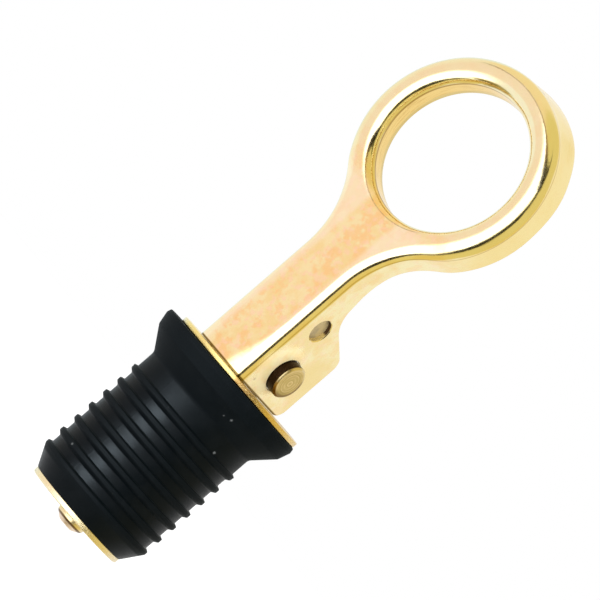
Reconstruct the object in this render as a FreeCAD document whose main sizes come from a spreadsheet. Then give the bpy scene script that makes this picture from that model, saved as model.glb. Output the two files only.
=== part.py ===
"""Expanding drain plug for a boat's 1 inch drain tube.

A black rubber plug is held between two metal washers on a threaded stem. A cross barrel
on the stem's upper end is the pivot of a lever, stamped and folded from one sheet. Its
ears bear on the top washer, so folding it down draws the stem up and swells the rubber.

All sizes are in millimetres. The origin is on the stem's axis at the middle rib of the
rubber. +Z runs up the stem, the lever's closed back faces -Y and it folds towards +Y.
"""

import FreeCAD
import Part

import math
import os

import Sketcher

# Rubber plug
crest_radius = 12.5
valley_radius = 11.8
rib_count = 6
rib_pitch = 3.15
rib_land = 0.6
rib_upper_flank = 0.35
rib_lower_flank = 0.75
nose_radius = 10.3
nose_height = 3.7
nose_round = 0.25
neck_radius = 12.0
neck_length = 2.8
flare_height = 4.85
flange_radius = 15.6
lip_height = 2.7
lip_round = 1.1
lip_top_round = 0.6
neck_round = 1.6

# Stem and washers
stem_radius = 2.4
stem_above_pivot = 5.0
stem_head_radius = 2.9
stem_head_height = 2.0
stem_head_round = 1.2
rod_chamfer = 0.5
rubber_bore_gap = 0.2
top_washer_radius = 14.0
top_washer_drift_x = 1.0
top_washer_drift_y = 0.6
bottom_washer_radius = 10.25
washer_thickness = 1.0
washer_edge_round = 0.2
washer_hole_gap = 0.3

# Cross barrel
barrel_radius = 3.25
barrel_proud = 2.0
barrel_chamfer = 0.35
barrel_run_gap = 0.08
thread_run_gap = 0.05

# Lever sheet, measured from the barrel's axis
sheet_thickness = 1.0
lever_width = 12.0
bend_radius = 2.0
spine_reach = 9.05
ear_reach = 9.4
ear_bottom = 5.6
cam_gap = 0.1
ear_top = 8.4
ear_top_round = 2.4
waist_height = 12.7
waist_depth = 8.15
waist_round = 5.5
arm_depth = 5.55
arm_depth_end = 26.5
ring_height = 44.7
ring_radius = 18.4
ring_depth = 7.3
ring_depth_start = 31.5
ring_blend_radius = 17.5
ring_band = 4.9
lip_depth = 5.6
lip_bend = 1.9
dimple_radius = 2.2
dimple_depth = 0.8
dimple_height = 9.65
dimple_back = 3.1

driving = [name for name, value in list(globals().items()) if isinstance(value, (int, float))]

doc = FreeCAD.newDocument("DrainPlug")
sheet = doc.addObject("Spreadsheet::Sheet", "Sizes")


class Size:
    """A length that carries both its value and the sheet formula that gives it."""

    def __init__(self, value, formula):
        self.value = value
        self.formula = formula

    def joined(self, other, sign, result):
        formula = other.formula if isinstance(other, Size) else str(other)
        return Size(result, f"({self.formula} {sign} {formula})")

    def __add__(self, other):
        return self.joined(other, "+", self.value + value_of(other))

    def __sub__(self, other):
        return self.joined(other, "-", self.value - value_of(other))

    def __mul__(self, factor):
        return self.joined(factor, "*", self.value * value_of(factor))

    def __truediv__(self, factor):
        return self.joined(factor, "/", self.value / value_of(factor))

    def __neg__(self):
        return Size(-self.value, f"(-1 * {self.formula})")


def value_of(length):
    return length.value if isinstance(length, Size) else float(length)


# The sheet holds each driving dimension under its own name. From here on the name stands
# for that cell, so what is worked out from it is bound to the sheet
for row, name in enumerate(driving, 1):
    value = globals()[name]
    sheet.set(f"A{row}", name.replace("_", " "))
    sheet.set(f"B{row}", str(value))
    sheet.setAlias(f"B{row}", name)
    globals()[name] = Size(float(value), f"{sheet.Name}.{name}")

# Places along the stem that follow from the sizes above
first_rib = nose_height + rib_land / 2
neck_bottom = first_rib + rib_pitch * rib_count + rib_land
neck_top = neck_bottom + neck_length
cone_top = neck_top + flare_height
rubber_length = cone_top + lip_height
rubber_bottom = -(first_rib + rib_pitch * rib_count / 2)
rubber_top = rubber_bottom + rubber_length
washer_face = rubber_top + washer_thickness
pivot_height = washer_face + ear_bottom + cam_gap
head_seat = rubber_bottom - washer_thickness

doc.recompute()


def new_body(label):
    body = doc.addObject("PartDesign::Body", label)
    body.Label = label
    return body


def lift(body, height):
    """Sets a body at its height on the stem."""
    body.Placement = FreeCAD.Placement(FreeCAD.Vector(0, 0, height.value), FreeCAD.Rotation())
    body.setExpression("Placement.Base.z", height.formula)


def new_sketch(body, name, role, offset=None):
    """An empty sketch on one of the body's own origin planes, such as XZ_Plane, or off it."""
    sketch = body.newObject("Sketcher::SketchObject", name)
    plane = [item for item in body.Origin.OriginFeatures if item.Role == role][0]
    sketch.AttachmentSupport = (plane, [""])
    sketch.MapMode = "FlatFace"
    if offset:
        base = FreeCAD.Vector(0, 0, offset.value)
        sketch.AttachmentOffset = FreeCAD.Placement(base, FreeCAD.Rotation())
        sketch.setExpression("AttachmentOffset.Base.z", offset.formula)
    doc.recompute()
    return sketch


def bind(sketch, constraint, length):
    index = sketch.addConstraint(constraint)
    if isinstance(length, Size):
        sketch.setExpression(f"Constraints[{index}]", length.formula)


def hold_point(sketch, item, end, across, up):
    """Holds one end of a sketch item at its distances from the sketch's origin."""
    for kind, length, axis in (("DistanceX", across, -2), ("DistanceY", up, -1)):
        if value_of(length) == 0:
            sketch.addConstraint(Sketcher.Constraint("PointOnObject", item, end, axis))
        elif value_of(length) > 0:
            bind(sketch, Sketcher.Constraint(kind, -1, 1, item, end, value_of(length)), length)
        else:
            length = -length if isinstance(length, Size) else -float(length)
            bind(sketch, Sketcher.Constraint(kind, item, end, -1, 1, value_of(length)), length)


def polygon(sketch, corners, first_side=None):
    """A closed outline, its corners held by their distances and its first side curved or not."""
    points = [FreeCAD.Vector(value_of(across), value_of(up), 0) for across, up in corners]
    lines = [Part.LineSegment(start, end) for start, end in zip(points, points[1:] + points[:1])]
    if first_side:
        lines[0] = first_side
    sides = [sketch.addGeometry(line, False) for line in lines]
    for side, following in zip(sides, sides[1:] + sides[:1]):
        sketch.addConstraint(Sketcher.Constraint("Coincident", side, 2, following, 1))
    for side, (across, up) in zip(sides, corners):
        hold_point(sketch, side, 1, across, up)


def circle(sketch, radius, across=0, up=0):
    centre = FreeCAD.Vector(value_of(across), value_of(up), 0)
    normal = FreeCAD.Vector(0, 0, 1)
    item = sketch.addGeometry(Part.Circle(centre, normal, value_of(radius)), False)
    if value_of(across) == 0 and value_of(up) == 0:
        sketch.addConstraint(Sketcher.Constraint("Coincident", item, 3, -1, 1))
    else:
        hold_point(sketch, item, 3, across, up)
    bind(sketch, Sketcher.Constraint("Radius", item, value_of(radius)), radius)


def pad(body, sketch, name, length, symmetric=False, reverse=False):
    feature = body.newObject("PartDesign::Pad", name)
    feature.Profile = sketch
    feature.Length = value_of(length)
    feature.setExpression("Length", length.formula)
    feature.Midplane = symmetric
    feature.Reversed = reverse
    doc.recompute()
    return feature


def pocket(body, sketch, name, length=None, symmetric=False, reverse=False):
    """A cut of the given depth, or through everything when no depth is given."""
    volume = body.Shape.Volume
    feature = body.newObject("PartDesign::Pocket", name)
    feature.Profile = sketch
    if length is None:
        feature.Type = "ThroughAll"
    else:
        feature.Length = value_of(length)
        feature.setExpression("Length", length.formula)
    feature.Midplane = symmetric
    feature.Reversed = reverse
    doc.recompute()
    if body.Shape.Volume > volume - 1e-3:
        raise RuntimeError(f"{name} cuts nothing")
    return feature


def turned(body, sketch, name, kind="PartDesign::Revolution"):
    """Turns a sketch on the XZ plane a full circle about the stem's axis."""
    feature = body.newObject(kind, name)
    feature.Profile = sketch
    feature.ReferenceAxis = (sketch, ["V_Axis"])
    feature.Angle = 360
    doc.recompute()
    return feature


def edges_where(body, test):
    """Names of the edges of a body's tip whose middle passes a test, in the body's frame."""
    shape = body.Tip.Shape
    names = []
    for number, edge in enumerate(shape.Edges, 1):
        middle = edge.valueAt((edge.FirstParameter + edge.LastParameter) / 2)
        if test(edge, middle):
            names.append(f"Edge{number}")
    return names


def rounded(body, name, radius, test, kind="PartDesign::Fillet"):
    names = edges_where(body, test)
    if not names:
        raise RuntimeError(f"{name} finds no edge")
    base = body.Tip
    feature = body.newObject(kind, name)
    feature.Base = (base, names)
    size = "Size" if kind.endswith("Chamfer") else "Radius"
    setattr(feature, size, value_of(radius))
    feature.setExpression(size, radius.formula)
    doc.recompute()
    return feature


def near(number, length):
    return abs(number - value_of(length)) < 1e-4


# Rubber plug: a moulded body of revolution with an eased nose, six ribs and a flange
plug = new_body("rubber_plug")
lift(plug, rubber_bottom)
bore_radius = stem_radius + rubber_bore_gap
core = new_sketch(plug, "CoreProfile", "XZ_Plane")
nose_land_top = nose_height + rib_land
polygon(
    core,
    [
        (bore_radius, 0),
        (nose_radius, 0),
        (crest_radius, nose_height),
        (crest_radius, nose_land_top),
        (valley_radius, nose_land_top + rib_upper_flank),
        (valley_radius, neck_bottom - rib_land),
        (neck_radius, neck_bottom),
        (neck_radius, neck_top),
        (flange_radius, cone_top),
        (flange_radius, rubber_length),
        (bore_radius, rubber_length),
    ],
)
turned(plug, core, "Core")


def plug_ring(radius, height):
    """A test for the circular edge of the given radius at the given height."""

    def test(edge, middle):
        across = math.hypot(middle.x, middle.y)
        return near(across, radius) and near(middle.z, height)

    return test


rounded(plug, "LipUnderRound", lip_round, plug_ring(flange_radius, cone_top))
rounded(plug, "LipTopRound", lip_top_round, plug_ring(flange_radius, rubber_length))
rounded(plug, "NeckRound", neck_round, plug_ring(neck_radius, neck_top))
rounded(plug, "NoseRound", nose_round, plug_ring(crest_radius, nose_height))

rib = new_sketch(plug, "RibProfile", "XZ_Plane")
rib_root = valley_radius - rib_land
rib_middle = first_rib + rib_pitch
polygon(
    rib,
    [
        (rib_root, rib_middle - rib_land / 2 - rib_lower_flank),
        (valley_radius, rib_middle - rib_land / 2 - rib_lower_flank),
        (crest_radius, rib_middle - rib_land / 2),
        (crest_radius, rib_middle + rib_land / 2),
        (valley_radius, rib_middle + rib_land / 2 + rib_upper_flank),
        (rib_root, rib_middle + rib_land / 2 + rib_upper_flank),
    ],
)
first = turned(plug, rib, "Rib")
ribs = plug.newObject("PartDesign::LinearPattern", "Ribs")
ribs.Originals = [first]
ribs.Direction = (rib, ["V_Axis"])
ribs.Occurrences = int(rib_count.value)
ribs.setExpression("Occurrences", rib_count.formula)
ribs.Length = rib_pitch.value * (rib_count.value - 1)
ribs.setExpression("Length", (rib_pitch * (rib_count - 1)).formula)
plug.Tip = ribs
doc.recompute()


def washer(label, radius, hole_radius, height, drift=None):
    """A flat washer, blanked from sheet, with its lower face at the given height."""
    body = new_body(label)
    lift(body, height)
    if drift:
        body.setExpression("Placement.Base.x", drift[0].formula)
        body.setExpression("Placement.Base.y", drift[1].formula)
    disc = new_sketch(body, label + "_disc", "XY_Plane")
    circle(disc, radius)
    circle(disc, hole_radius)
    pad(body, disc, label + "_blank", washer_thickness)
    rounded(
        body,
        label + "_edge",
        washer_edge_round,
        lambda edge, middle: near(math.hypot(middle.x, middle.y), radius),
    )
    return body


# The top washer's hole is wide, and it has slipped on the stem towards +X and +Y
top_washer = washer(
    "top_washer",
    top_washer_radius,
    stem_radius + top_washer_drift_x + top_washer_drift_y,
    rubber_top,
    (top_washer_drift_x, top_washer_drift_y),
)
bottom_washer = washer("bottom_washer", bottom_washer_radius, stem_radius + washer_hole_gap, head_seat)

# Stem: a rod with its lower end peened to a head that carries the bottom washer
stem = new_body("stem")
lift(stem, head_seat)
rod_length = pivot_height - head_seat + stem_above_pivot
rod_profile = new_sketch(stem, "RodProfile", "XZ_Plane")
polygon(
    rod_profile,
    [
        (0, -stem_head_height),
        (stem_head_radius, -stem_head_height),
        (stem_head_radius, 0),
        (stem_radius, 0),
        (stem_radius, rod_length - rod_chamfer),
        (stem_radius - rod_chamfer, rod_length),
        (0, rod_length),
    ],
)
turned(stem, rod_profile, "Rod")
rounded(
    stem,
    "PeenedRound",
    stem_head_round,
    lambda edge, middle: near(middle.z, -stem_head_height) and near(abs(middle.x), stem_head_radius),
)

# Cross barrel: a turned pin through both ears, tapped across for the stem
barrel = new_body("barrel")
lift(barrel, pivot_height)
barrel_end = new_sketch(barrel, "BarrelEnd", "YZ_Plane")
circle(barrel_end, barrel_radius)
pad(barrel, barrel_end, "BarrelBlank", lever_width + barrel_proud * 2, symmetric=True)
rounded(
    barrel,
    "BarrelChamfer",
    barrel_chamfer,
    lambda edge, middle: edge.Curve.TypeId == "Part::GeomCircle",
    "PartDesign::Chamfer",
)
tapping = new_sketch(barrel, "TappedHole", "XY_Plane")
circle(tapping, stem_radius + thread_run_gap)
pocket(barrel, tapping, "Tapping", symmetric=True)

# Lever: one sheet, drawn to a channel with a finger ring, its ears and lip trimmed after
lever = new_body("lever")
lift(lever, pivot_height)
half_width = lever_width / 2
finger_radius = ring_radius - ring_band
back = -spine_reach

# The blank is a sheet's thickness too long and too deep, which the side trim takes off
blank_front = ear_reach + sheet_thickness
blank_bottom = -ear_bottom - sheet_thickness
full_depth = spine_reach + blank_front

arm_outline = new_sketch(lever, "ArmOutline", "XZ_Plane", -blank_front)
polygon(
    arm_outline,
    [
        (-half_width, blank_bottom),
        (half_width, blank_bottom),
        (half_width, ring_height),
        (-half_width, ring_height),
    ],
)
pad(lever, arm_outline, "ArmBlank", full_depth)
ring_outline = new_sketch(lever, "RingOutline", "XZ_Plane", -blank_front)
circle(ring_outline, ring_radius, 0, ring_height)
pad(lever, ring_outline, "RingBlank", full_depth)


def along_y(edge, middle):
    """Edges that run in the sheet's drawing direction where the arm meets the ring."""
    first_point = edge.valueAt(edge.FirstParameter)
    last_point = edge.valueAt(edge.LastParameter)
    straight = near(first_point.x, last_point.x) and near(first_point.z, last_point.z)
    return straight and near(abs(middle.x), half_width) and middle.z > 0


rounded(lever, "RingBlend", ring_blend_radius, along_y)
finger_hole = new_sketch(lever, "FingerHole", "XZ_Plane")
circle(finger_hole, finger_radius, 0, ring_height)
pocket(lever, finger_hole, "FingerOpening", symmetric=True)


def finger_edge(edge, middle):
    reach = math.hypot(middle.x, middle.z - ring_height.value)
    return near(middle.y, back) and near(reach, finger_radius)


def back_edge(edge, middle):
    on_bottom = near(middle.z, blank_bottom)
    return near(middle.y, back) and not on_bottom and not finger_edge(edge, middle)


rounded(lever, "OuterBend", bend_radius, back_edge)
rounded(lever, "LipBend", lip_bend, finger_edge)

open_faces = []
for number, face in enumerate(lever.Tip.Shape.Faces, 1):
    middle = face.CenterOfMass
    flat = face.Surface.TypeId == "Part::GeomPlane"
    if flat and (near(middle.z, blank_bottom) or near(middle.y, blank_front)):
        open_faces.append(f"Face{number}")
blank = lever.Tip
hollow = lever.newObject("PartDesign::Thickness", "Hollow")
hollow.Base = (blank, open_faces)
hollow.Value = sheet_thickness.value
hollow.setExpression("Value", sheet_thickness.formula)
hollow.Reversed = True
hollow.Mode = "Skin"
hollow.Join = "Arc"
doc.recompute()

# The ears' lower corner is a cam: its reach from the barrel grows evenly with the fold,
# so it is the involute of a circle, from the flat bottom edge to the flat open edge
fold = math.pi / 2
growth = (ear_reach - ear_bottom) / fold
cam_steps = 8
cam_points = []
for step in range(cam_steps + 1):
    angle = fold * step / cam_steps
    reach = ear_bottom.value + growth.value * angle
    across = reach * math.sin(angle) + growth.value * math.cos(angle)
    up = growth.value * math.sin(angle) - reach * math.cos(angle)
    cam_points.append(FreeCAD.Vector(across, up, 0))
cam_curve = Part.BSplineCurve()
cam_curve.interpolate(cam_points)

# Trim of the channel, seen from the side: bottom, cam, open edge, waist, arm and ring
side_trim = new_sketch(lever, "SideTrim", "YZ_Plane")
past = blank_front + sheet_thickness
below = blank_bottom - sheet_thickness
above = ring_height + ring_radius + sheet_thickness
waist_edge = waist_depth - spine_reach
arm_edge = arm_depth - spine_reach
ring_edge = ring_depth - spine_reach
polygon(
    side_trim,
    [
        (growth, -ear_bottom),
        (ear_reach, growth),
        (ear_reach, ear_top),
        (waist_edge, waist_height),
        (arm_edge, arm_depth_end),
        (ring_edge, ring_depth_start),
        (ring_edge, above),
        (past, above),
        (past, below),
        (back - sheet_thickness, below),
        (back - sheet_thickness, -ear_bottom),
    ],
    cam_curve,
)
pocket(lever, side_trim, "SideTrimCut", symmetric=True)


def side_corner(across, up):
    """A test for an edge that runs across the sheet at a corner of the side outline."""

    def test(edge, middle):
        first_point = edge.valueAt(edge.FirstParameter)
        last_point = edge.valueAt(edge.LastParameter)
        runs_across = near(first_point.y, last_point.y) and near(first_point.z, last_point.z)
        return runs_across and near(middle.y, across) and near(middle.z, up)

    return test


rounded(lever, "EarTopRound", ear_top_round, side_corner(ear_reach, ear_top))
rounded(lever, "WaistRound", waist_round, side_corner(waist_edge, waist_height))

# The lip round the finger hole is shallower than the outer flange
lip_trim = new_sketch(lever, "LipTrim", "XZ_Plane", spine_reach - lip_depth)
circle(lip_trim, finger_radius + sheet_thickness * 1.5, 0, ring_height)
pocket(lever, lip_trim, "LipTrimCut", full_depth)

pivot_hole = new_sketch(lever, "PivotHole", "YZ_Plane")
circle(pivot_hole, barrel_radius + barrel_run_gap)
pocket(lever, pivot_hole, "PivotHoles", symmetric=True)

# A round spot in each cheek is half sheared: pushed in, but still one with the sheet
for side, sign in (("Near", 1), ("Far", -1)):
    boss = new_sketch(lever, side + "Boss", "YZ_Plane", (half_width - sheet_thickness) * sign)
    circle(boss, dimple_radius, -dimple_back, dimple_height)
    pad(lever, boss, side + "BossPad", dimple_depth, reverse=sign > 0)
    recess = new_sketch(lever, side + "Recess", "YZ_Plane", half_width * sign)
    circle(recess, dimple_radius, -dimple_back, dimple_height)
    pocket(lever, recess, side + "RecessCut", dimple_depth, reverse=sign < 0)

doc.recompute()
pieces = [plug, top_washer, bottom_washer, stem, barrel, lever]
for item in doc.Objects:
    if "Invalid" in item.State or "Error" in item.State:
        raise RuntimeError(f"{item.Name} failed: {item.State}")
os.makedirs("parts", exist_ok=True)
for piece in pieces:
    shape = piece.Shape
    if shape.isNull() or not shape.isValid() or len(shape.Solids) != 1:
        raise RuntimeError(f"{piece.Label} is not one valid solid")
for piece in pieces:
    piece.Shape.exportStep(f"parts/{piece.Label}.step")
    print(f"{piece.Label}: {piece.Shape.Volume:.1f} cubic mm, {piece.Shape.BoundBox}")
print(f"barrel axis at {pivot_height.value:.3f}, fold lift {ear_reach.value - ear_bottom.value:.3f}")
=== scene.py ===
import math

import bmesh
import bpy
from mathutils import Matrix, Vector


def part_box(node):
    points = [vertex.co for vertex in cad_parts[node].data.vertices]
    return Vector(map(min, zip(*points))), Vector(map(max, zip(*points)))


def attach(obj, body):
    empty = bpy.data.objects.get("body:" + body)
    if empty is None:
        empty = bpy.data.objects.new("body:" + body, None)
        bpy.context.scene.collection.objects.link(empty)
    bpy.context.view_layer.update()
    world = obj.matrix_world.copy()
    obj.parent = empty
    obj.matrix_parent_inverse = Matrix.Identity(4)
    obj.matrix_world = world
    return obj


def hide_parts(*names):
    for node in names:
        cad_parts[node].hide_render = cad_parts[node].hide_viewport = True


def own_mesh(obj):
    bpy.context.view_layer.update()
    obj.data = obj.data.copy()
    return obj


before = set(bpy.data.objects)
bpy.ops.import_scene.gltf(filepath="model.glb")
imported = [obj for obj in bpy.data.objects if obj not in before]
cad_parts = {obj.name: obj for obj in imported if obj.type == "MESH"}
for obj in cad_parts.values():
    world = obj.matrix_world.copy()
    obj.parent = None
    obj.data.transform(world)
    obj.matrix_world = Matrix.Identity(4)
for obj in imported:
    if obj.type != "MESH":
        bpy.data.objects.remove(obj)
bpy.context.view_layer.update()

# Rubber plug: the black moulded body that swells in the drain tube. It has an eased nose,
# six ribs, a straight neck and a flange that stops it against the hull. The washers hold it
# on the stem, and it shortens as the lever draws them together.
MM = 0.001
pivot_height = 27.1
rubber_bottom = -13.45
rubber_top = 20.4


class Wire:
    """An output socket of a node tree. Arithmetic on it adds the Math nodes it needs."""

    def __init__(self, nodes, socket):
        self.nodes = nodes
        self.socket = socket

    def math(self, operation, *terms):
        return self.nodes.add("ShaderNodeMath", {"operation": operation}, dict(enumerate(terms)))

    def __add__(self, other):
        return self.math("ADD", self, other)

    def __radd__(self, other):
        return self.math("ADD", other, self)

    def __sub__(self, other):
        return self.math("SUBTRACT", self, other)

    def __rsub__(self, other):
        return self.math("SUBTRACT", other, self)

    def __mul__(self, other):
        return self.math("MULTIPLY", self, other)

    def __truediv__(self, other):
        return self.math("DIVIDE", self, other)

    def __neg__(self):
        return self.math("MULTIPLY", self, -1.0)

    def __abs__(self):
        return self.math("ABSOLUTE", self)

    def __mod__(self, other):
        return self.math("FLOORED_MODULO", self, other)

    def __gt__(self, other):
        return self.math("GREATER_THAN", self, other)

    def length(self, other):
        """The length of the vector whose two parts are this value and the other."""
        return self.math("SQRT", self * self + other * other)

    def ramp(self, low, high, start=0.0, end=1.0):
        """A smooth step from start to end as this value goes from low to high."""
        settings = {"interpolation_type": "SMOOTHSTEP"}
        places = {"From Min": low, "From Max": high, "To Min": start, "To Max": end}
        return self.nodes.add("ShaderNodeMapRange", settings, {"Value": self, **places})


class Nodes:
    """One node tree, shader or geometry, with one method that adds any node to it."""

    def __init__(self, tree):
        self.tree = tree
        tree.nodes.clear()

    def add(self, kind, settings=None, inputs=None, output=0):
        node = self.tree.nodes.new(kind)
        for name, value in (settings or {}).items():
            setattr(node, name, value)
        for name, value in (inputs or {}).items():
            if isinstance(value, Wire):
                self.tree.links.new(value.socket, node.inputs[name])
            else:
                node.inputs[name].default_value = value
        if isinstance(output, tuple):
            return [Wire(self, node.outputs[name]) for name in output]
        return Wire(self, node.outputs[output]) if node.outputs else node

    def mix(self, share, first, second, blend="MIX"):
        """A colour mixed from two, which are wires or (r, g, b)."""
        first = first if isinstance(first, Wire) else (*first, 1.0)
        second = second if isinstance(second, Wire) else (*second, 1.0)
        settings = {"data_type": "RGBA", "blend_type": blend}
        return self.add("ShaderNodeMix", settings, {0: share, 6: first, 7: second}, 2)

    def place(self):
        """The three wires of a piece's own coordinates, in millimetres."""
        place = self.add("ShaderNodeTexCoord", output="Object")
        x, y, z = self.add("ShaderNodeSeparateXYZ", inputs={0: place}, output=("X", "Y", "Z"))
        return x / MM, y / MM, z / MM

    def point(self, x, y, z):
        return self.add("ShaderNodeCombineXYZ", inputs={"X": x, "Y": y, "Z": z})

    def noise(self, place, scale, detail=2.0, rough=0.5):
        """A cloudy value from 0 to 1, its patches about 1/scale wide in the place's units."""
        inputs = {"Vector": place, "Scale": scale, "Detail": detail, "Roughness": rough}
        return self.add("ShaderNodeTexNoise", inputs=inputs)

    def bump(self, height, depth, under=None):
        """A normal from a height that stands for depth millimetres at its full value."""
        inputs = {"Height": height, "Distance": depth * MM, "Strength": 1.0}
        if under:
            inputs["Normal"] = under
        return self.add("ShaderNodeBump", inputs=inputs)


class Finish(Nodes):
    """A material, made by wiring up its Principled shader."""

    def __init__(self, name):
        self.material = bpy.data.materials.new(name)
        self.material.use_nodes = True
        super().__init__(self.material.node_tree)

    def done(self, **sockets):
        inputs = {name.replace("_", " ").title(): value for name, value in sockets.items()}
        inputs = {name.replace("Ior", "IOR"): value for name, value in inputs.items()}
        shader = self.add("ShaderNodeBsdfPrincipled", inputs=inputs)
        self.add("ShaderNodeOutputMaterial", inputs={"Surface": shader})
        return self.material


def turned_tree():
    """Turns a profile about Z, with ribs standing on it and a screw thread cut into it."""
    tree = bpy.data.node_groups.new("Turned piece", "GeometryNodeTree")
    nodes = Nodes(tree)
    tree.interface.new_socket("Piece", in_out="OUTPUT", socket_type="NodeSocketGeometry")
    tree.interface.new_socket("Profile", in_out="INPUT", socket_type="NodeSocketGeometry")
    tree.interface.new_socket("Sides", in_out="INPUT", socket_type="NodeSocketInt")
    for name in (
        "Rib count", "First rib", "Rib pitch", "Rib height", "Rib land", "Rib lower flank",
        "Rib upper flank", "Rib root", "Thread pitch", "Thread depth", "Thread start", "Thread end",
    ):
        tree.interface.new_socket(name, in_out="INPUT", socket_type="NodeSocketFloat")
    tree.interface.new_socket("Finish", in_out="INPUT", socket_type="NodeSocketMaterial")
    source = tree.nodes.new("NodeGroupInput")
    given = {socket.name: Wire(nodes, socket) for socket in source.outputs}

    domain = {"component": "MESH"}
    count = nodes.add("GeometryNodeAttributeDomainSize", domain, {"Geometry": given["Profile"]})
    across = {"Size X": 1.0, "Size Y": 1.0, "Vertices X": given["Sides"] + 1, "Vertices Y": count}
    grid = nodes.add("GeometryNodeMeshGrid", inputs=across)
    index = nodes.add("GeometryNodeInputIndex")
    step = index % count
    turn = ((index - step) / count) / given["Sides"]
    sample = {"data_type": "FLOAT_VECTOR", "domain": "POINT"}
    place = nodes.add("GeometryNodeInputPosition")
    inputs = {"Geometry": given["Profile"], "Value": place, "Index": step}
    on_profile = nodes.add("GeometryNodeSampleIndex", sample, inputs)
    radius, _, height = nodes.add(
        "ShaderNodeSeparateXYZ", inputs={0: on_profile}, output=("X", "Y", "Z")
    )

    from_first = height - given["First rib"]
    pitches = from_first / given["Rib pitch"]
    nearest = pitches.math("ROUND", pitches)
    nearest = nearest.math("MAXIMUM", nearest.math("MINIMUM", nearest, given["Rib count"] - 1), 0.0)
    off = from_first - nearest * given["Rib pitch"]
    half_land = given["Rib land"] / 2
    rising = off.ramp(-half_land - given["Rib lower flank"], -half_land)
    falling = off.ramp(half_land, half_land + given["Rib upper flank"], 1.0, 0.0)
    outside = radius > given["Rib root"]
    rib = rising * falling * outside * given["Rib height"]

    phase = (height / given["Thread pitch"] - turn) % 1.0
    groove = 1.0 - abs(phase * 2.0 - 1.0)
    started = height.ramp(given["Thread start"], given["Thread start"] + given["Thread pitch"])
    run_out = given["Thread pitch"] * 0.6
    ended = height.ramp(given["Thread end"] - run_out, given["Thread end"], 1.0, 0.0)
    thread = groove.ramp(0.1, 0.9) * started * ended * given["Thread depth"]

    reach = radius + rib - thread
    angle = turn * math.tau
    spot = nodes.point(
        reach * angle.math("COSINE", angle), reach * angle.math("SINE", angle), height
    )
    moved = nodes.add("GeometryNodeSetPosition", inputs={"Geometry": grid, "Position": spot})
    closed = nodes.add("GeometryNodeMergeByDistance", inputs={"Geometry": moved, "Distance": 2e-6})
    smooth = nodes.add("GeometryNodeSetShadeSmooth", inputs={"Geometry": closed})
    real = nodes.add("GeometryNodeRealizeInstances", inputs={"Geometry": smooth})
    painted = nodes.add(
        "GeometryNodeSetMaterial", inputs={"Geometry": real, "Material": given["Finish"]}
    )
    sink = tree.nodes.new("NodeGroupOutput")
    tree.links.new(painted.socket, sink.inputs[0])
    return tree


turning = turned_tree()

# Divisors that a piece without ribs or thread still needs
no_rules = {"Rib pitch": 1.0, "Thread pitch": 1.0}


def rounded(corners, steps=8):
    """A line through (across, up, radius) corners, with each corner rounded to its radius."""
    line = []
    for before, corner, after in zip([None, *corners], corners, [*corners[1:], None]):
        here = Vector(corner[:2])
        if not before or not after or not corner[2]:
            line.append(here)
            continue
        back = (Vector(before[:2]) - here).normalized()
        ahead = (Vector(after[:2]) - here).normalized()
        half = back.angle(ahead) / 2
        reach = corner[2] / math.tan(half)
        centre = here + (back + ahead).normalized() * corner[2] / math.sin(half)
        start = here + back * reach - centre
        end = here + ahead * reach - centre
        turn = start.angle(end)
        for step in range(steps + 1):
            share = step / steps * turn
            swung = start * math.sin(turn - share) + end * math.sin(share)
            line.append(centre + swung / math.sin(turn))
    return line


def divided(line, most):
    """The same line with its long stretches divided, so that no step is longer than most."""
    fine = [line[0]]
    for start, end in zip(line, line[1:]):
        parts = max(1, math.ceil((end - start).length / most))
        fine += [start.lerp(end, part / parts) for part in range(1, parts + 1)]
    return fine


def evaluated_mesh(thing, name):
    """The mesh of an object with its modifiers worked in, and those modifiers removed."""
    depsgraph = bpy.context.evaluated_depsgraph_get()
    mesh = bpy.data.meshes.new_from_object(thing.evaluated_get(depsgraph))
    mesh.name = name
    thing.modifiers.clear()
    return mesh


def piece(name, mesh):
    thing = bpy.data.objects.new(name, mesh)
    bpy.context.scene.collection.objects.link(thing)
    return thing


def crisp(mesh, degrees=30):
    """Smooth faces, with edges sharper than the angle kept crisp and the normals outwards."""
    shape = bmesh.new()
    shape.from_mesh(mesh)
    bmesh.ops.recalc_face_normals(shape, faces=shape.faces)
    for face in shape.faces:
        face.smooth = True
    for edge in shape.edges:
        edge.smooth = edge.is_manifold and edge.calc_face_angle(0) < math.radians(degrees)
    shape.to_mesh(mesh)
    shape.free()


def turned(name, profile, material, sides=128, lie=None, **rules):
    """A piece turned from (radius, height) points in millimetres, then laid where it goes."""
    line = bpy.data.meshes.new(name + "_profile")
    points = [(x * MM, 0.0, z * MM) for x, z in profile]
    line.from_pydata(points, [(i, i + 1) for i in range(len(points) - 1)], [])
    lathe = piece(name + "_lathe", line)
    modifier = lathe.modifiers.new("Turning", "NODES")
    modifier.node_group = turning
    sizes = {key.replace("_", " ").capitalize(): value for key, value in rules.items()}
    for socket in turning.interface.items_tree:
        if socket.name in ("Sides", "Finish"):
            modifier[socket.identifier] = sides if socket.name == "Sides" else material
        elif socket.in_out == "INPUT" and socket.name != "Profile":
            size = float(sizes.get(socket.name, no_rules.get(socket.name, 0.0)))
            modifier[socket.identifier] = size if socket.name == "Rib count" else size * MM
    mesh = evaluated_mesh(lathe, name)
    bpy.data.objects.remove(lathe)
    if lie:
        mesh.transform(lie)
    crisp(mesh)
    return piece(name, mesh)


# Specks of dust on the rubber, as (turn about the axis, height, size)
dust = [
    (-0.66, 16.0, 0.3),
    (-0.76, 15.6, 0.2),
    (-0.38, 10.3, 0.35),
    (-1.86, -6.4, 0.3),
    (-1.3, 9.6, 0.15),
]


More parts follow.
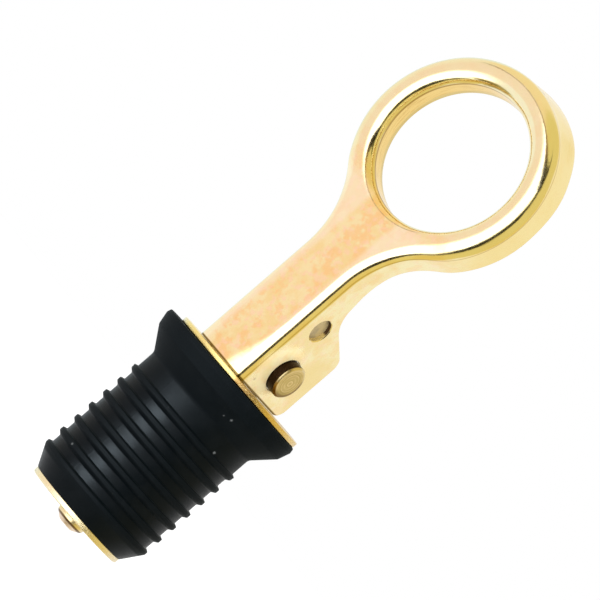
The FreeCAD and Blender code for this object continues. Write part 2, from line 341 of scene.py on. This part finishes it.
def black_rubber():
    """Moulded black rubber: a fine grain, smooth valleys, dull crests and a parting line."""
    finish = Finish("Moulded black rubber")
    x, y, z = finish.place()
    spot = finish.point(x, y, z)
    grain = finish.noise(spot, 9.0, 3.0, 0.6)
    cloud = finish.noise(spot, 0.35, 4.0, 0.6)
    reach = x.length(y)
    valley = reach.ramp(11.85, 12.2, 1.0, 0.0)
    colour = finish.mix(cloud.ramp(0.35, 0.75), (0.0015, 0.0033, 0.0047), (0.0031, 0.0050, 0.0064))
    for turn, height, size in dust:
        side = finish.point(reach * math.cos(turn), reach * math.sin(turn), height)
        measure = {"operation": "DISTANCE"}
        off = finish.add("ShaderNodeVectorMath", measure, {0: spot, 1: side}, "Value")
        ragged = (off + grain * 0.5).ramp(size, size + 0.25, 1.0, 0.0)
        colour = finish.mix(ragged * 0.8, colour, (0.16, 0.17, 0.17))
    parting = abs(x).ramp(0.0, 0.12, 1.0, 0.0) * valley
    neck = z.ramp(9.9, 10.3)
    dull = grain.ramp(0.2, 0.8, 0.0, 0.12) + cloud.ramp(0.3, 0.7, 0.0, 0.06)
    height = grain * 0.6 + cloud * 0.4 + parting * 0.4
    return finish.done(
        base_color=colour,
        roughness=dull + valley.ramp(0.0, 1.0, 0.56, 0.29) + neck * 0.09,
        specular_ior_level=0.06,
        sheen_weight=0.030,
        sheen_roughness=0.3,
        sheen_tint=(0.72, 0.94, 1.0, 1.0),
        normal=finish.bump(height, 0.03),
    )


rib_count = 6
rib_pitch = 3.15
rib_land = 0.6
bore_radius = 2.6
crest_radius = 12.5
root_radius = 11.8
neck_radius = 11.95
flange_radius = 15.6
first_rib = rubber_bottom + 4.0
last_rib = first_rib + rib_pitch * rib_count
plug_profile = rounded(
    [
        (bore_radius, rubber_bottom, 0.0),
        (10.3, rubber_bottom, 0.25),
        (crest_radius, rubber_bottom + 3.7, 0.25),
        (crest_radius, first_rib + 0.3, 0.15),
        (root_radius, first_rib + 0.65, 0.1),
        (root_radius, last_rib, 0.15),
        (neck_radius, last_rib + rib_land, 0.3),
        (neck_radius, rubber_top - 6.9, 1.4),
        (flange_radius - 0.6, rubber_top - 3.1, 0.8),
        (flange_radius, rubber_top - 0.9, 0.5),
        (flange_radius - 0.2, rubber_top, 0.3),
        (bore_radius, rubber_top, 0.0),
        (bore_radius, rubber_bottom, 0.0),
    ]
)

# Fine steps where the ribs stand, and coarse ones down the hidden bore
plug_profile = divided(plug_profile[:-1], 0.1) + divided(plug_profile[-2:], 2.0)[1:]
rubber = turned(
    "rubber_body",
    plug_profile,
    black_rubber(),
    rib_count=rib_count,
    first_rib=first_rib + rib_pitch,
    rib_pitch=rib_pitch,
    rib_height=0.7,
    rib_land=rib_land,
    rib_lower_flank=0.75,
    rib_upper_flank=0.35,
    rib_root=6.0,
)
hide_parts("rubber_plug")
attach(rubber, "plug")
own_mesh(rubber)

# Washers: two flat discs, blanked from golden sheet. Blanking rolls their lower edge over
# and leaves upright score lines on the rim. The upper one is loose and has slipped a little
# to one side; the lower one is held by the stem's head.
def blanked_metal():
    finish = Finish("Blanked golden sheet")
    x, y, z = finish.place()
    around = x.math("ARCTAN2", y, x)
    spot = finish.point(x, y, z)
    rim = finish.noise(finish.point(around * 14.0, z * 0.35, 0.0), 9.0, 3.0, 0.65)
    cloud = finish.noise(spot, 0.5, 4.0, 0.6)
    colour = finish.mix(cloud.ramp(0.3, 0.7), (0.90, 0.73, 0.26), (0.96, 0.83, 0.38))

    # Painted highlight: paler towards the left, and on the lower washer
    colour = finish.mix(x.ramp(-12.0, -7.0, 0.7, 0.0), colour, (1.0, 0.93, 0.78))
    colour = finish.mix(z.ramp(-5.0, 5.0, 0.6, 0.0), colour, (0.88, 0.81, 0.66))

    # Painted shade where the rim turns from the light: darker orange-brown on the right side, most
    # of all on the upper washer, which is painted darker brown still further right
    shaded_right = x.ramp(3.0, 9.0) * rim.ramp(0.35, 0.6) * z.ramp(-5.0, 5.0, 0.25, 1.0)
    colour = finish.mix(shaded_right * 0.8, colour, (0.62, 0.34, 0.11))
    darkest_shade = x.ramp(6.8, 8.0) * x.ramp(10.0, 12.0, 1.0, 0.0) * z.ramp(0.0, 1.0)
    colour = finish.mix(darkest_shade * rim.ramp(0.3, 0.55, 0.4, 0.85), colour, (0.32, 0.17, 0.045))
    return finish.done(
        base_color=colour,
        metallic=1.0,
        roughness=cloud.ramp(0.3, 0.7, 0.22, 0.32),
        normal=finish.bump(rim * 0.7 + cloud * 0.5, 0.05),
    )


washer_metal = blanked_metal()


def washer(name, node, body, radius, hole, drift=(0.0, 0.0)):
    low, high = (corner.z / MM for corner in map(Vector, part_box(node)))
    profile = rounded(
        [
            (hole, low, 0.0),
            (radius, low, 0.28),
            (radius, high, 0.1),
            (hole, high, 0.0),
            (hole, low, 0.0),
        ],
        5,
    )
    lie = Matrix.Translation((drift[0] * MM, drift[1] * MM, 0))
    ring = turned(name, divided(profile, 0.8), washer_metal, sides=160, lie=lie)
    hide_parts(node)
    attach(ring, body)


washer("top_washer_disc", "top_washer", "washer", radius=14.0, hole=4.0, drift=(1.0, 0.6))
washer("bottom_washer_disc", "bottom_washer", "stem", radius=10.25, hole=2.7)


# Stem: a turned rod, threaded where the barrel runs on it. Its lower end is peened over to a
# low dome that carries the bottom washer.
head_seat = rubber_bottom - 1.0
head_radius = 2.9
rod_radius = 2.4


def turned_metal():
    finish = Finish("Turned olive metal")
    x, y, z = finish.place()
    spot = finish.point(x, y, z)
    cloud = finish.noise(spot, 0.8, 4.0, 0.6)
    rings = finish.noise(finish.point(0.0, 0.0, z), 11.0, 2.0)
    colour = finish.mix(cloud.ramp(0.3, 0.7), (0.42, 0.29, 0.11), (0.62, 0.46, 0.20))
    head = z.ramp(head_seat - 0.1, head_seat, 1.0, 0.0)
    side_share = z.ramp(head_seat - 1.3, head_seat - 1.0)
    pale = finish.mix(side_share, (0.85, 0.68, 0.50), (0.88, 0.74, 0.44))
    colour = finish.mix(head, colour, pale)
    # Painted shadow: a dark band round the head, just under the washer
    washer_shadow = abs(z - (head_seat - 1.1)).ramp(0.12, 0.3, 1.0, 0.0) * head
    colour = finish.mix(washer_shadow * 0.9, colour, (0.14, 0.07, 0.02))
    return finish.done(
        base_color=colour,
        metallic=1.0,
        roughness=cloud.ramp(0.3, 0.7, 0.26, 0.40),
        normal=finish.bump(rings * 0.6 + cloud * 0.6, 0.03),
    )


rod_metal = turned_metal()
rod_top = pivot_height + 5.0
rod_profile = rounded(
    [
        (0.0, head_seat - 2.0, 0.0),
        (1.4, head_seat - 2.0, 1.2),
        (head_radius, head_seat - 1.0, 0.7),
        (head_radius, head_seat, 0.0),
        (rod_radius, head_seat, 0.0),
        (rod_radius, rod_top - 0.5, 0.0),
        (1.9, rod_top, 0.1),
        (0.0, rod_top, 0.0),
    ]
)
stem = turned(
    "stem_rod",
    divided(rod_profile, 0.09),
    rod_metal,
    sides=96,
    thread_pitch=1.0,
    thread_depth=0.42,
    thread_start=8.0,
    thread_end=rod_top,
)
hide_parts("stem")
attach(stem, "stem")


# Cross barrel: a pin turned from bar, through both ears, with the stem's thread tapped across
# it. Its sides are painted near black, a painted dark reflection, and its faces are bright from the
# tool.
def cut(thing, tools, name, operation="DIFFERENCE"):
    """Cuts the tools out of a thing, or joins them to it, and drops the tools."""
    for tool in tools:
        modifier = thing.modifiers.new("Cut", "BOOLEAN")
        modifier.solver = "EXACT"
        modifier.operation = operation
        modifier.object = tool
    mesh = evaluated_mesh(thing, name)
    for tool in tools:
        bpy.data.objects.remove(tool)
    old = thing.data
    thing.data = mesh
    bpy.data.meshes.remove(old)


along_x = Matrix.Translation((0, 0, pivot_height * MM)) @ Matrix.Rotation(math.pi / 2, 4, "Y")


def barrel_metal():
    finish = Finish("Barrel with bright faces")
    x, y, z = finish.place()
    up = z - pivot_height
    reach = y.length(up)
    spot = finish.point(x, y, z)
    cloud = finish.noise(spot, 0.9, 4.0, 0.6)
    rings = finish.noise(finish.point(reach, 0.0, 0.0), 3.2, 3.0, 0.6)
    face = abs(x).ramp(7.55, 7.72)
    bright = finish.mix(rings.ramp(0.38, 0.62), (0.48, 0.35, 0.10), (0.76, 0.58, 0.26))
    bright = finish.mix(cloud.ramp(0.45, 0.65) * 0.4, bright, (0.50, 0.38, 0.10))
    # The face's edge is painted pale where it faces up, a painted highlight, and dark brown where
    # it faces down, a painted shade
    below = (y * 0.5 - up * 0.87) / reach
    rim = finish.mix(below.ramp(0.0, 0.6), (0.76, 0.62, 0.34), (0.22, 0.12, 0.04))
    bright = finish.mix(reach.ramp(2.72, 2.9) * 0.85, bright, rim)
    # Painted shade: darker olive over the lower part of the face, and dark brown round its lower
    # edge
    bright = finish.mix((y * 0.3 - up).ramp(1.3, 3.1) * 0.8, bright, (0.27, 0.19, 0.03))
    lower_edge_shade = (y * 0.8 - up * 0.6).ramp(0.0, 1.8) * reach.ramp(2.35, 2.6)
    bright = finish.mix(lower_edge_shade * 0.8, bright, (0.24, 0.14, 0.04))
    # The sides are painted near black, a painted dark reflection
    colour = finish.mix(face, (0.030, 0.017, 0.010), bright)
    return finish.done(
        base_color=colour,
        metallic=1.0,
        roughness=face.ramp(0.0, 1.0, 0.36, 0.30),
        normal=finish.bump(rings * face + cloud * 0.5, 0.05),
    )


pin_metal = barrel_metal()
pin_end = 8.0
pin_radius = 3.25
chamfer_across = 0.3
chamfer_along = 0.35
tap_radius = 2.45
pin_profile = rounded(
    [
        (0.0, -pin_end, 0.0),
        (pin_radius - chamfer_across, -pin_end, 0.08),
        (pin_radius, chamfer_along - pin_end, 0.1),
        (pin_radius, pin_end - chamfer_along, 0.1),
        (pin_radius - chamfer_across, pin_end, 0.08),
        (0.0, pin_end, 0.0),
    ],
    4,
)
barrel = turned("barrel_pin", divided(pin_profile, 0.6), pin_metal, sides=128, lie=along_x)
tap_profile = [(0, 20), (tap_radius, 20), (tap_radius, 34), (0, 34)]
tap = turned("tap", tap_profile, pin_metal, sides=64)
cut(barrel, [tap], "barrel_pin")
crisp(barrel.data)
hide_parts("barrel")
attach(barrel, "barrel")


# Lever: one pale golden sheet, blanked and then drawn into a channel. Its flange runs up both
# sides, round the finger ring and down again, and the ring's hole has a drawn lip. The ears
# turn on the barrel, and a spot in each cheek is half sheared inwards.
sheet = 1.0
half_width = 6.0
arm_bend = 2.0
ring_bend = 2.5
back = -9.05
ear_reach = 9.4
ear_bottom = 5.6
ring_height = 44.7
ring_radius = 18.4
ring_edge = -1.75
top_gain = 1.8
blend_radius = 17.5
finger_radius = 13.5
lip_bend = 1.9
lip_depth = 5.6
margin = 0.12
spot_back = -2.9
spot_height = 9.5
spot_radius = 2.2


def lever_metal():
    finish = Finish("Drawn pale golden sheet")
    x, y, z = finish.place()
    above = z - pivot_height
    up = above - ring_height
    depth = y - back
    around = x.math("ARCTAN2", up, x)
    place = finish.point(x, y, z)
    cloud = finish.noise(place, 0.16, 4.0, 0.6)
    patch = finish.noise(place, 0.5, 4.0, 0.55)
    on_ring = above.ramp(26.0, 36.0)
    lines = finish.noise(finish.point(around * 1.2, y, 0.0), 2.6, 4.0, 0.7)
    on_lip = x.length(up).ramp(14.2, 14.5, 1.0, 0.0)
    fleck = finish.noise(place, 0.8, 2.0, 0.5)
    wall = depth.ramp(1.7, 2.3)
    flat = depth.ramp(0.2, 0.9, 1.0, 0.0)

    # Mottled on the spine and less on the cheeks, and paler along the spine's edges as a painted
    # highlight
    mottled = flat + wall * 0.45
    colour = finish.mix(cloud.ramp(0.42, 0.58), (0.94, 0.83, 0.48), (0.92, 0.75, 0.37))
    colour = finish.mix(patch.ramp(0.46, 0.60) * mottled * 0.7, colour, (0.96, 0.63, 0.29))
    colour = finish.mix(fleck.ramp(0.50, 0.66) * mottled * 0.5, colour, (0.99, 0.71, 0.53))
    edge = abs(x).ramp(3.0, 4.4) * above.ramp(30.0, 34.0, 1.0, 0.0)
    colour = finish.mix(edge * depth.ramp(0.5, 1.3, 0.6, 0.0), colour, (0.98, 0.90, 0.70))

    # Evener on the ring, with a deeper gold and upright streaks on the drawn lip
    paler = finish.mix(wall, (0.88, 0.81, 0.53), (0.92, 0.74, 0.31))
    colour = finish.mix(above.ramp(30.0, 38.0) * 0.75, colour, paler)
    drawn = on_lip * depth.ramp(1.75, 1.95)
    drawn_tone = finish.mix(depth.ramp(4.2, 4.8), (0.91, 0.66, 0.24), (0.72, 0.56, 0.22))
    colour = finish.mix(drawn, colour, drawn_tone)
    streaks = on_lip * lines.ramp(0.48, 0.64) * depth.ramp(0.5, 1.0)
    colour = finish.mix(streaks * 0.55, colour, (0.66, 0.42, 0.12))

    # A yellower bloom and one speck on the cheek beside the barrel
    bloom = (y - 6.4).length(above - 3.0).ramp(1.5, 6.0, 1.0, 0.0)
    speck = (y + 5.35).length(above + 3.85).ramp(0.15, 0.4, 1.0, 0.0)
    colour = finish.mix(bloom * wall * 0.8, colour, (0.90, 0.72, 0.33))
    colour = finish.mix(speck * wall * 0.6, colour, (0.50, 0.38, 0.22))

    # A thin brown line is painted where each bend runs out into its wall, a painted dark reflection
    runs_out = on_ring.ramp(0.0, 1.0, 1.5, 2.45) - on_lip * 0.6
    painted_bend_line = (abs(depth - runs_out) - on_lip * 0.1).ramp(0.05, 0.2, 1.0, 0.0)
    colour = finish.mix(painted_bend_line * (0.5 + on_lip * 0.4), colour, (0.44, 0.27, 0.06))
    dull = cloud.ramp(0.25, 0.75, 0.12, 0.18)

    # The half-sheared spot: a grey floor, and a wall with painted shadow above and a painted
    # highlight below
    off_y = y - spot_back
    off_z = above - spot_height
    off = off_y.length(off_z)
    sunk = abs(x).ramp(4.8, 4.9) * abs(x).ramp(5.8, 5.95, 1.0, 0.0) * off.ramp(2.3, 2.4, 1.0, 0.0)
    torn_wall = off.ramp(2.1, 2.2)
    low_wall = finish.mix(off_y.ramp(-0.5, 0.8), (0.32, 0.24, 0.11), (0.70, 0.54, 0.20))
    wall_shading = finish.mix(off_z.ramp(-0.1, 0.4), low_wall, (0.06, 0.028, 0.008))
    floor_tone = finish.mix(patch.ramp(0.4, 0.6), (0.38, 0.30, 0.16), (0.50, 0.39, 0.19))
    colour = finish.mix(sunk, colour, finish.mix(torn_wall, floor_tone, wall_shading))

    # Rubbed dull beside the barrel, and a painted shadow along the sheared lower edge where it
    # meets the washer
    rubbed = (y + 2.6).length(above).ramp(4.1, 6.0, 1.0, 0.0) * abs(x).ramp(5.5, 5.9)
    contact_shadow = above.ramp(-5.36, -5.16, 1.0, 0.0)
    colour = finish.mix(contact_shadow * 0.95, colour, (0.18, 0.11, 0.010))
    dull_spot = sunk * (0.7 + torn_wall * off_z.ramp(-0.1, 0.4, 0.0, 0.25))
    matt = sunk.math("MAXIMUM", rubbed * 0.9, dull_spot)

    # The spine is dished towards its lower corner on each side
    own_normal = finish.add("ShaderNodeTexCoord", output="Normal")
    facing = finish.add("ShaderNodeSeparateXYZ", inputs={0: own_normal}, output="Y")
    level = facing.ramp(-0.995, -0.965, 1.0, 0.0) * above.ramp(6.0, 9.0, 1.0, 0.0)
    past = abs(x) - 2.4 - above * 0.25
    tilt = past.math("MAXIMUM", past, 0.0) * level * 0.087 * x.math("SIGN", x)
    normal = finish.add("ShaderNodeNewGeometry", output="Normal")
    sideways = finish.point(tilt, 0.0, 0.0)
    tilted = finish.add("ShaderNodeVectorMath", {"operation": "ADD"}, {0: normal, 1: sideways})
    dished = finish.add("ShaderNodeVectorMath", {"operation": "NORMALIZE"}, {0: tilted})
    height = patch * 0.7 + cloud * 1.2 + lines * on_ring * 0.5
    return finish.done(
        base_color=colour,
        metallic=1.0 - matt,
        roughness=dull + rubbed * 0.25 + sunk * 0.25,
        normal=finish.bump(height, 0.03, dished),
    )


def eased(value, low, high):
    """A smooth step from 0 to 1 as a number goes from low to high."""
    share = min(1.0, max(0.0, (value - low) / (high - low)))
    return share * share * (3 - 2 * share)


def flare_at(height):
    """How far the flange's free edge stands out round the top of the ring."""
    over = height - ring_height
    return 0.3 * eased(over, 0.0, 12.0) + 0.5 * eased(over, 11.0, 17.0)


def bend_at(height):
    """The outer bend's radius, which opens from the arm to the ring."""
    return arm_bend + (ring_bend - arm_bend) * eased(height, 26.0, 36.0)


# The sheet's free edge from the side, from the ear's lower corner up to the ring's top
free_edge = rounded(
    [
        (back, -ear_bottom, 0.0),
        (ear_reach, -ear_bottom, 2.0),
        (ear_reach, 8.4, 2.4),
        (back + 8.15, 12.7, 5.5),
        (back + 5.55, 26.5, 12.0),
        (ring_edge, 31.5, 6.0),
        (ring_edge, ring_height + 3.0, 40.0),
        (ring_edge + top_gain, ring_height + ring_radius + 1.0, 0.0),
    ],
    14,
)[1:]


def free_edge_at(height):
    """The free edge's y at a height, between the points of its line."""
    for low, high in zip(free_edge, free_edge[1:]):
        if low.y <= height <= high.y and high.y > low.y:
            return low.x + (high.x - low.x) * (height - low.y) / (high.y - low.y)
    return ring_edge


# Half of the outline from the front, as (x, z, outward x, outward z, free edge's y)
blend_middle = Vector((half_width + blend_radius, 0.0))
blend_middle.y = ring_height - math.sqrt((ring_radius + blend_radius) ** 2 - blend_middle.x**2)
blend_turn = math.asin((ring_height - blend_middle.y) / (ring_radius + blend_radius))
blend_steps = 30
ring_steps = 96
side = []
for spot in free_edge:
    if spot.y < blend_middle.y - 0.2:
        side.append((half_width, spot.y, 1.0, 0.0, spot.x))
for step in range(blend_steps + 1):
    angle = blend_turn * step / blend_steps
    out = Vector((math.cos(angle), -math.sin(angle)))
    spot = blend_middle - out * blend_radius
    side.append((spot.x, spot.y, out.x, out.y, free_edge_at(spot.y)))
for step in range(1, ring_steps + 1):
    angle = -blend_turn + (math.pi / 2 + blend_turn) * step / ring_steps
    out = Vector((math.cos(angle), math.sin(angle)))
    spot = Vector((0.0, ring_height)) + out * ring_radius
    side.append((spot.x, spot.y, out.x, out.y, free_edge_at(spot.y)))
outline = side + [(-x, z, -out_x, out_z, y) for x, z, out_x, out_z, y in side[-2::-1]]


def arc(centre, start, end, degrees, steps):
    """Points about a centre that swing from its start vector towards its end vector."""
    angles = [math.radians(degrees * step / steps) for step in range(steps + 1)]
    return [centre + start * math.cos(angle) + end * math.sin(angle) for angle in angles]


def folded_rows(route, radius_at, spread_at, is_closed):
    """The sheet's section at each place of a route: flat, bend, wall, edge and back again."""
    away = Vector((0, 1, 0))
    rolled = 0.3
    worn = 0.12
    last = len(route) - 1
    corners = []
    for x, z, out_x, out_z, free_y in route:
        spread = spread_at(z)
        corners.append(Vector((x + out_x * spread, free_y, z + out_z * spread)))
    rows = []
    for number, (x, z, out_x, out_z, _) in enumerate(route):
        out = Vector((out_x, 0, out_z))
        radius = radius_at(z)
        if not is_closed and number in (0, last):
            past = away
        else:
            following = corners[0 if number == last else number + 1]
            past = out.cross(following - corners[number - 1]).normalized()
            past = past if past.y > 0 or abs(past.y) < 1e-6 and past.z < 0 else -past
        centre = Vector((x, back + radius, z)) - out * radius
        tight = radius - sheet
        corner = corners[number]
        inner = corner - out * sheet
        rim = arc(corner - (past + out) * rolled, out * rolled, past * rolled, 90, 4)
        rim += arc(inner - (past - out) * worn, past * worn, -out * worn, 90, 3)
        outer_start = Vector((x, back + radius + margin, z))
        outer_end = rim[0] - past * margin
        inner_start = rim[-1] - past * margin
        inner_end = outer_start - out * sheet
        row = [centre - out * margin - away * radius]
        row += arc(centre, -away * radius, out * radius, 90, 14)
        row += [outer_start.lerp(outer_end, part / 6) for part in range(7)]
        row += rim
        row += [inner_start.lerp(inner_end, part / 6) for part in range(7)]
        row += arc(centre, out * tight, -away * tight, 90, 10)
        row += [centre - out * margin - away * tight]
        rows.append(row)
    return rows


def add_rows(shape, rows, is_closed):
    """Skins the rows with faces, and gives back their points."""
    lift = Vector((0, 0, pivot_height))
    points = [[shape.verts.new((place + lift) * MM) for place in row] for row in rows]
    pairs = list(zip(points, points[1:]))
    if is_closed:
        pairs.append((points[-1], points[0]))
    for row, following in pairs:
        for a, b, c, d in zip(row, row[1:], following[1:], following):
            shape.faces.new((a, b, c, d))
    return points


def edges_along(shape, loop):
    """The edges round a loop of points, made where they are missing."""
    pairs = zip(loop, [*loop[1:], loop[0]])
    return [shape.edges.get(pair) or shape.edges.new(pair) for pair in pairs]


shape = bmesh.new()
flange = add_rows(shape, folded_rows(outline, bend_at, flare_at, False), False)
lip_steps = 192
lip_route = []
for step in range(lip_steps):
    angle = math.tau * step / lip_steps
    out = Vector((math.cos(angle), math.sin(angle)))
    spot = Vector((0.0, ring_height)) + out * finger_radius
    lip_route.append((spot.x, spot.y, -out.x, -out.y, back + lip_depth))
lip_rows = folded_rows(lip_route, lambda height: lip_bend, lambda height: 0.0, True)
lip = add_rows(shape, lip_rows, True)

# The flat outer and inner faces are filled between the flange's bend and the lip's
for end in (0, -1):
    edges = edges_along(shape, [row[end] for row in flange])
    edges += edges_along(shape, [row[end] for row in lip])
    bmesh.ops.triangle_fill(
        shape, use_beauty=True, use_dissolve=False, edges=edges, normal=(0, 1, 0)
    )
shape.faces.new(flange[0] + flange[-1][::-1])
bmesh.ops.recalc_face_normals(shape, faces=shape.faces)
folded = bpy.data.meshes.new("lever_folded")
shape.to_mesh(folded)
shape.free()
lever = piece("lever_sheet", folded)
sheet_metal = lever_metal()

# The spots stand in from each cheek and are sunk in its face, and the eyes are drilled
bosses = []
recesses = []
to_spot = Matrix.Translation((0, spot_back * MM, spot_height * MM)) @ along_x
for sign in (1, -1):
    boss = [(0, 4.2), (2.1, 4.2), (spot_radius, 4.3), (spot_radius, 5.1), (0, 5.1)]
    hollow = [(0, 5.2), (spot_radius, 5.2), (spot_radius, 5.85), (2.35, 6.0), (2.35, 7.0), (0, 7.0)]
    for profile, tools in ((boss, bosses), (hollow, recesses)):
        profile = [(radius, height * sign) for radius, height in profile]
        tools.append(turned("spot_tool", profile, sheet_metal, sides=64, lie=to_spot))
eye = 3.33
drill = [(0, -9), (eye + 0.15, -9), (eye + 0.15, -6), (eye, -5.85), (eye, -5.12), (eye + 0.12, -5)]
drill += [(radius, -height) for radius, height in drill[::-1]]
recesses.append(turned("eye_drill", drill, sheet_metal, sides=128, lie=along_x))
cut(lever, bosses, "lever_joined", "UNION")
cut(lever, recesses, "lever_sheet")
lever.data.materials.clear()
lever.data.materials.append(sheet_metal)
crisp(lever.data)
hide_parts("lever")
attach(lever, "lever")


# Studio: a plain pale floor and a white surround. The metal mirrors a bright panel beside the
# camera, the dark gap along its top and right edges, and golden walls beyond.
floor_mesh = bpy.data.meshes.new("floor")
floor_half = 1.6
floor_height = -0.045
floor_corners = [(-1, -1), (1, -1), (1, 1), (-1, 1)]
floor_places = [(x * floor_half, y * floor_half, floor_height) for x, y in floor_corners]
floor_mesh.from_pydata(floor_places, [], [(0, 1, 2, 3)])
floor = piece("floor", floor_mesh)
floor_finish = Finish("Pale floor")
seen, glossy = floor_finish.add("ShaderNodeLightPath", output=("Is Camera Ray", "Is Glossy Ray"))
paper = floor_finish.add("ShaderNodeBsdfDiffuse", inputs={"Color": (0.80, 0.80, 0.80, 1.0)})
glow = floor_finish.add(
    "ShaderNodeEmission", inputs={"Color": (1.0, 1.0, 1.0, 1.0), "Strength": seen * 0.42}
)
lit = floor_finish.add("ShaderNodeAddShader", inputs={0: paper, 1: glow})
clear = floor_finish.add("ShaderNodeBsdfTransparent")
open_floor = floor_finish.add("ShaderNodeMixShader", inputs={0: glossy, 1: lit, 2: clear})
floor_finish.add("ShaderNodeOutputMaterial", inputs={"Surface": open_floor})
floor_mesh.materials.append(floor_finish.material)

world = bpy.data.worlds.new("Studio")
world.use_nodes = True
bpy.context.scene.world = world
studio = Nodes(world.node_tree)
seen, glossy = studio.add("ShaderNodeLightPath", output=("Is Camera Ray", "Is Glossy Ray"))
direction = studio.add("ShaderNodeTexCoord", output="Generated")
dx, dy, dz = studio.add("ShaderNodeSeparateXYZ", inputs={0: direction}, output=("X", "Y", "Z"))
azimuth = dx.math("ARCTAN2", dx, -dy) * (180 / math.pi)
level = dz.math("ARCSINE", dz) * (180 / math.pi)
peach = (1.02, 0.88, 0.82)
golden = (0.83, 0.70, 0.29)
cream = (1.04, 1.04, 1.06)

# Azimuth and level are in degrees, and azimuth 0 is in front of the lever's closed back
walls = studio.mix(azimuth.ramp(-80, -50, 1.0, 0.0), peach, (1.02, 0.97, 0.88))
walls = studio.mix(azimuth.ramp(-120, -100, 1.0, 0.0), walls, (0.90, 1.0, 1.05))
walls = studio.mix(level.ramp(-18, -9, 1.0, 0.0), walls, cream)
walls = studio.mix(azimuth.ramp(56, 61), walls, golden)
high_gold = studio.mix(dx.ramp(-0.28, -0.10, 1.0, 0.0), golden, (1.0, 0.84, 0.54))
walls = studio.mix(level.ramp(33, 38), walls, high_gold)
behind = abs(azimuth).ramp(138, 142) * abs(level).ramp(38, 48, 1.0, 0.0)
walls = studio.mix(behind, walls, (1.0, 0.99, 0.97))

# The bright panel, with an olive fringe inside its right end
low_half = level.ramp(29, 31, 1.0, 0.0)
panel = azimuth.ramp(-27, -10) * low_half
walls = studio.mix(panel * azimuth.ramp(60, 62, 1.0, 0.0), walls, (2.3, 2.3, 2.3))
fringe = azimuth.ramp(42, 46) * azimuth.ramp(54, 58, 1.0, 0.0) * low_half
walls = studio.mix(fringe, walls, (0.60, 0.54, 0.24))

# Olive low down at the left, and brown straight below
under = level.ramp(-66, -56, 1.0, 0.0) * azimuth.ramp(20, 40, 1.0, 0.0)
walls = studio.mix(under, walls, (0.42, 0.33, 0.11))
walls = studio.mix(level.ramp(-82, -70, 1.0, 0.0), walls, (0.10, 0.075, 0.03))

# The dark gap: upright beside the panel, and over it in a band that widens to the right
wide = level.ramp(-50, -36) * level.ramp(-26, -12, 5.0, 0.0) - level.ramp(8, 22, 0.0, 6.0)
upright = (azimuth + wide * 0.4).ramp(47, 51) * (azimuth - wide).ramp(67, 72, 1.0, 0.0)
upright = upright * level.ramp(60, 68, 1.0, 0.0)
upright = upright * level.ramp(-85, -40, 0.6, 1.0)
widening = 33 + (azimuth + 30).math("MAXIMUM", azimuth + 30, 0.0) * 0.24
over = level.ramp(29, 31) * (level - widening).ramp(-1, 2, 1.0, 0.0)
over = over * azimuth.ramp(-80, -60) * azimuth.ramp(60, 66, 1.0, 0.0)
dark = upright.math("MAXIMUM", upright, over)
dark_tone = studio.mix(azimuth.ramp(-5, 20), (0.30, 0.17, 0.06), (0.016, 0.013, 0.004))
walls = studio.mix(dark * 0.98, walls, dark_tone)
plain = studio.mix(glossy, (0.9, 0.9, 0.9), walls)
colour = studio.mix(seen, plain, (1.0, 1.0, 1.0))
sky = studio.add("ShaderNodeBackground", inputs={"Color": colour, "Strength": 1.0})
studio.add("ShaderNodeOutputWorld", inputs={"Surface": sky})


def area_light(name, place, across, energy):
    """A square soft light that faces the origin."""
    data = bpy.data.lights.new(name, "AREA")
    data.size = across
    data.energy = energy
    lamp = bpy.data.objects.new(name, data)
    bpy.context.scene.collection.objects.link(lamp)
    place = Vector(place)
    turn = (-place).to_track_quat("-Z", "Y").to_matrix().to_4x4()
    lamp.matrix_world = Matrix.Translation(place) @ turn
    return lamp


key = area_light("soft_key", (-0.35, -0.65, 0.75), 0.6, 4.0)
fill = area_light("soft_fill", (0.62, -0.36, 0.2), 0.4, 2.1)
key.visible_glossy = False
fill.visible_glossy = False

# A low light left of the camera, kept to the rubber, gives its valleys their grey shine
shine_turn = math.radians(-8)
shine_place = (0.5 * math.sin(shine_turn), -0.5 * math.cos(shine_turn), 0.004)
shine = area_light("rubber_shine", shine_place, 0.19, 6.2)
shine.data.color = (0.84, 0.98, 1.08)
shine.visible_diffuse = False
only_rubber = bpy.data.collections.new("only_rubber")
only_rubber.objects.link(rubber)
shine.light_linking.receiver_collection = only_rubber

# Camera: level with the lever's arm and 1.03 m off, turned so that the stem lies aslant in
# the square frame. The scale is in pixels a metre, and the lean is about a point on the axis.
scale = 6024
frame_pixels = 600
sensor = 36.0
lens_distance = 1.03
aim_shift = 11
view_turn = math.radians(31.3)
lean = math.radians(0.55)
roll = math.radians(48.5) + lean
toward = Vector((math.sin(view_turn), -math.cos(view_turn), 0))
across = Vector((math.cos(view_turn), math.sin(view_turn), 0))
up = toward.cross(across)
right = across * math.cos(roll) + up * math.sin(roll)
top = up * math.cos(roll) - across * math.sin(roll)
lean_point = Vector((0, 0, 0.0025))
aim = Vector((0, 0, 0.0375)) - across * (aim_shift / scale) - lean_point
aim_across = aim.dot(across)
aim_up = aim.dot(up)
nudge_across = -0.00040
nudge_up = -0.00004
centre = lean_point
centre = centre + across * (aim_across * math.cos(lean) - aim_up * math.sin(lean) + nudge_across)
centre = centre + up * (aim_across * math.sin(lean) + aim_up * math.cos(lean) + nudge_up)
camera_data = bpy.data.cameras.new("camera")
camera_data.sensor_width = sensor
camera_data.lens = sensor * lens_distance / (frame_pixels / scale)
camera = bpy.data.objects.new("camera", camera_data)
bpy.context.scene.collection.objects.link(camera)
turn = Matrix((right, top, toward)).transposed().to_4x4()
camera.matrix_world = Matrix.Translation(centre + toward * lens_distance) @ turn
bpy.context.scene.camera = camera
bpy.context.scene.view_settings.view_transform = "Standard"
